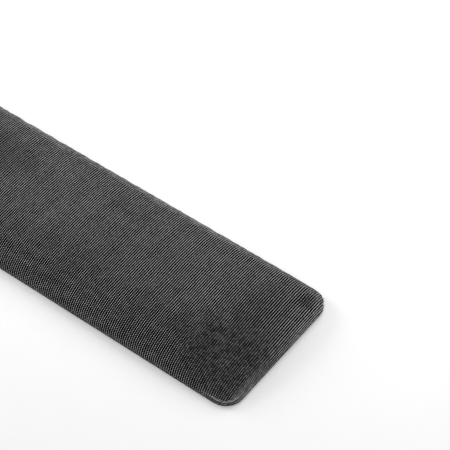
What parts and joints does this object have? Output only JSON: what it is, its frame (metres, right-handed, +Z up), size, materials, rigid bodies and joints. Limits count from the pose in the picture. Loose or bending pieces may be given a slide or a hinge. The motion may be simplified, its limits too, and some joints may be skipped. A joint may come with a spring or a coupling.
{
  "type": "keyboard wrist rest",
  "caption": "Long, slim keyboard wrist rest: a memory foam pad with softly rolled edges under a ribbed woven cover, on a thin anti-slip base.",
  "frame": {"origin": "centre of the underside, on the desk", "axes": "+X along the length of the rest, +Y away from the user towards the keyboard, +Z up"},
  "size_m": [0.44, 0.092, 0.0135],
  "materials": {
    "woven_fabric": "charcoal polyester plain weave, heavy grey ribs over near-black grooves, dry sheen",
    "memory_foam": "open-cell slow-rebound polyurethane foam, pale cream, fine pores",
    "adhesive": "pale amber transfer adhesive film",
    "base_rubber": "black anti-slip rubber sheet, matt, fine moulded grip pattern underneath"
  },
  "bodies": {
    "root": {"fabric_cover": "woven_fabric", "foam_core": "memory_foam", "adhesive_film": "adhesive", "anti_slip_base": "base_rubber"}
  },
  "joints": []
}
